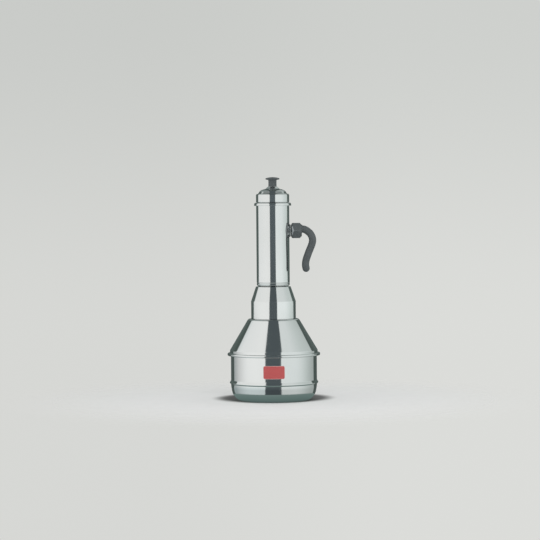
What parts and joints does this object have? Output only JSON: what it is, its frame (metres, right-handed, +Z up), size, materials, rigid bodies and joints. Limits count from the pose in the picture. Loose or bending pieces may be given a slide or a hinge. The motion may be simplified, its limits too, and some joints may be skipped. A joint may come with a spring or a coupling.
{
  "type": "puttu steamer",
  "caption": "Polished aluminium steamer: round water pot with conical shoulder, upright steaming tube on a tapered collar, perforated disc, lift-off lid and hooked side handle.",
  "frame": {"origin": "centre of the pot's flat base, on the common axis of all turned pieces", "axes": "+Z up along the common axis, +X towards the handle, -Y towards the label on the front"},
  "size_m": [0.176, 0.176, 0.4236],
  "materials": {
    "polished_aluminium": "spun and mirror polished",
    "mill_aluminium": "satin, as rolled",
    "plated_steel": "zinc plated",
    "brass": "turned",
    "bakelite": "moulded, semi-gloss black",
    "red_film": "plain printed film, no lettering"
  },
  "bodies": {
    "pot": {"pot_body": "polished_aluminium", "pot_shoulder": "polished_aluminium", "front_label": "red_film"},
    "tube": {"tube_collar": "polished_aluminium", "steamer_tube": "polished_aluminium", "handle_bracket": "polished_aluminium", "bracket_rivet_1": "polished_aluminium", "bracket_rivet_2": "polished_aluminium", "bracket_rivet_3": "polished_aluminium", "bracket_rivet_4": "polished_aluminium", "handle_washer": "plated_steel", "handle_stud": "plated_steel", "handle_insert": "brass", "handle_grip": "bakelite"},
    "disc": {"perforated_disc": "mill_aluminium"},
    "lid": {"lid_cap": "polished_aluminium", "lid_knob": "bakelite", "knob_insert": "brass", "knob_washer": "plated_steel", "knob_screw": "plated_steel"}
  },
  "joints": [
    {"name": "tube_lift", "type": "slide", "parent": "pot", "child": "tube", "axis": [0, 0, 1], "range_m": [0, 0.08]},
    {"name": "disc_push", "type": "slide", "parent": "tube", "child": "disc", "axis": [0, 0, 1], "range_m": [0, 0.137]},
    {"name": "lid_lift", "type": "slide", "parent": "tube", "child": "lid", "axis": [0, 0, 1], "range_m": [0, 0.06]}
  ]
}
